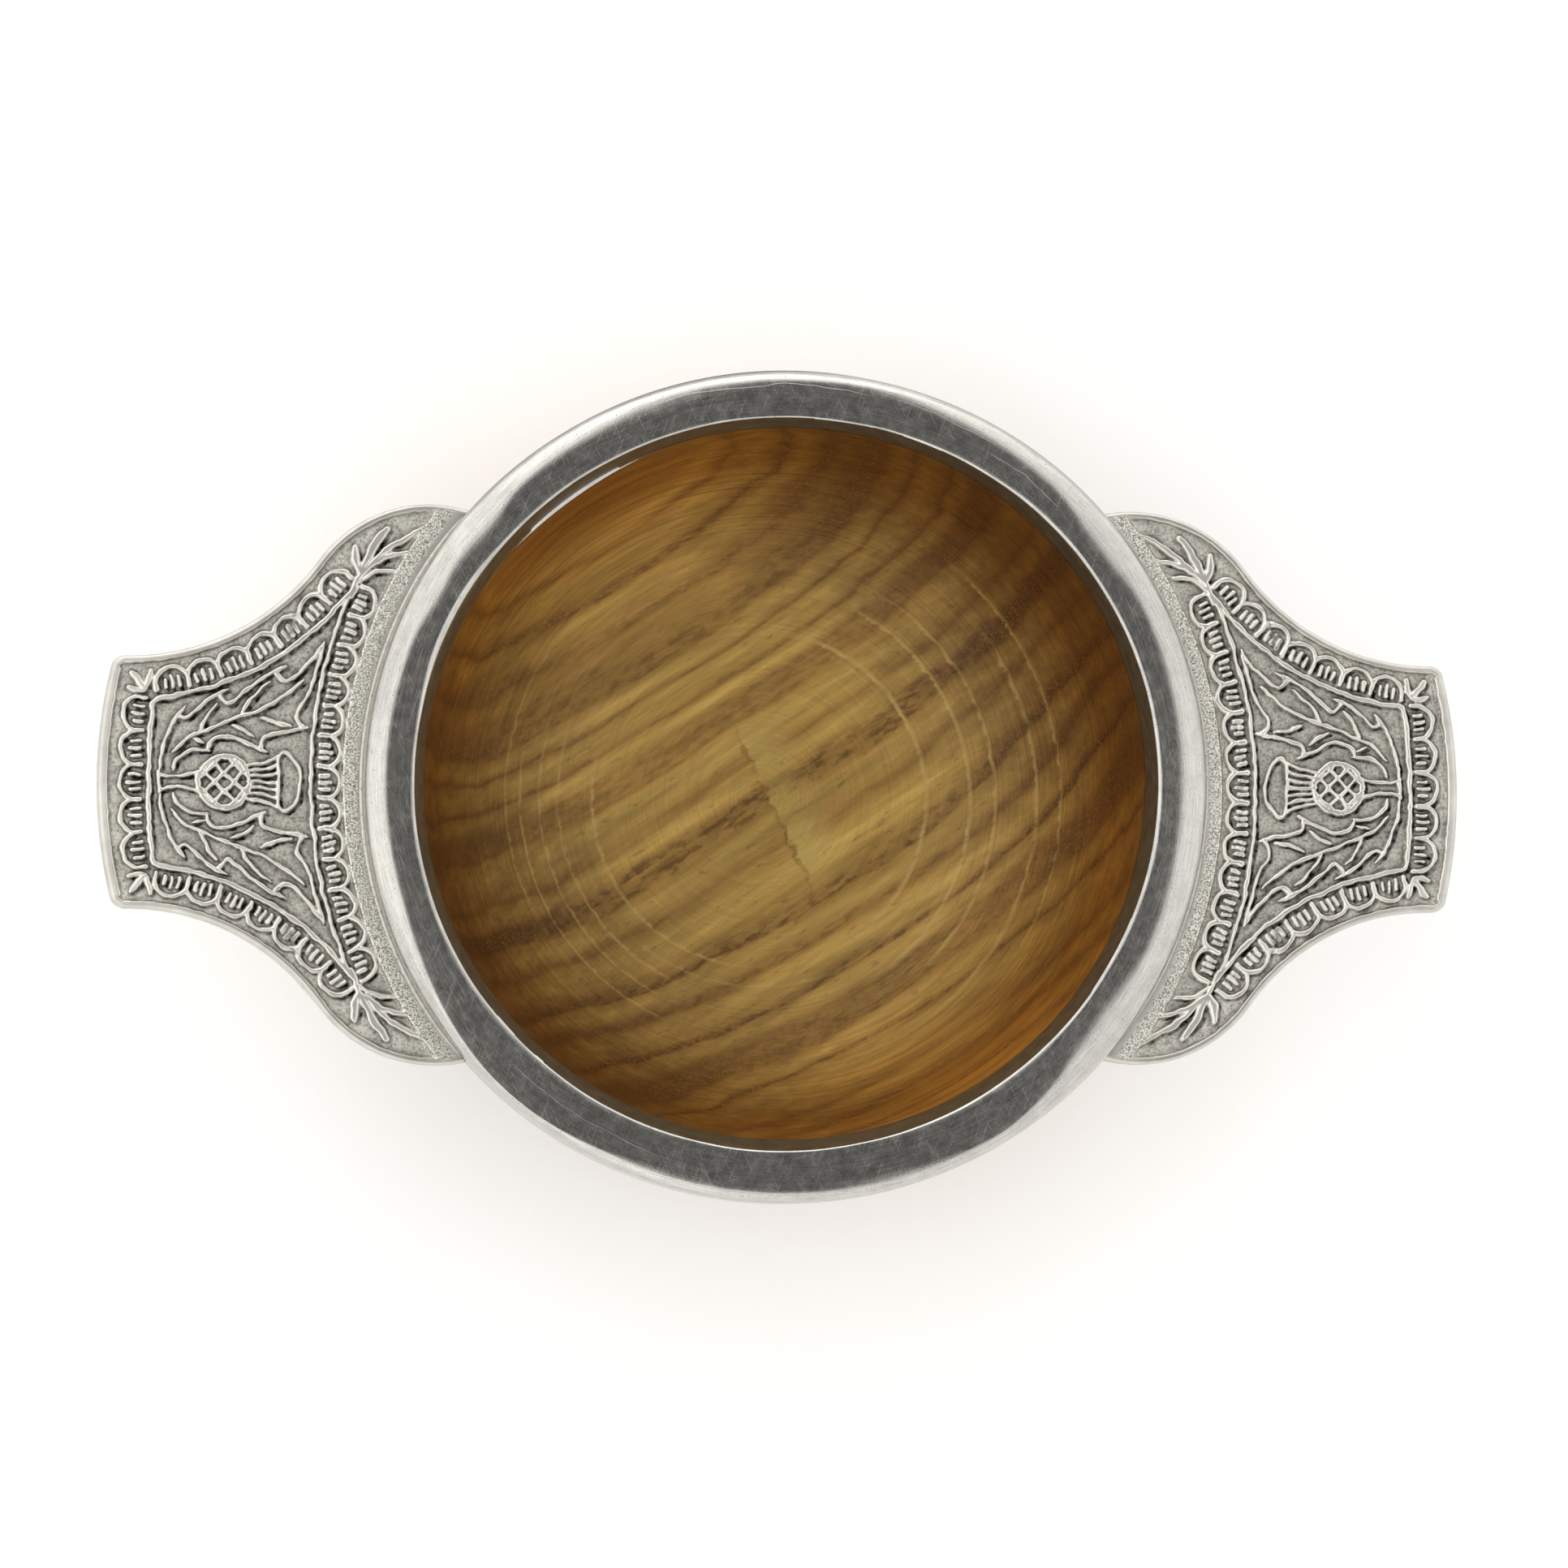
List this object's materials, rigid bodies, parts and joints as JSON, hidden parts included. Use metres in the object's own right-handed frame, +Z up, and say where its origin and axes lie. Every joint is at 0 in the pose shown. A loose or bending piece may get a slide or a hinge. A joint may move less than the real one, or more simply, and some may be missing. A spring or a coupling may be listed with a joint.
{
  "type": "quaich",
  "caption": "Shallow turned oak drinking cup with a rounded pewter rim and flat cast pewter lugs in low relief, standing on a turned foot.",
  "frame": {"origin": "centre of the foot's underside, on the cup's axis", "axes": "+Z up along the cup's axis, +X along the lugs towards the right lug, +Y away from the drinker"},
  "size_m": [0.1792, 0.11, 0.046],
  "materials": {
    "oak": "turned and oiled",
    "rim_pewter": "turned and burnished",
    "lug_pewter": "cast, darkened and rubbed bright",
    "cement": "set cement",
    "solder": "as run"
  },
  "bodies": {
    "root": {"bowl": "oak", "rim": "rim_pewter", "rim_bond": "cement", "left_lug": "lug_pewter", "right_lug": "lug_pewter", "left_solder": "solder", "right_solder": "solder"}
  },
  "joints": []
}
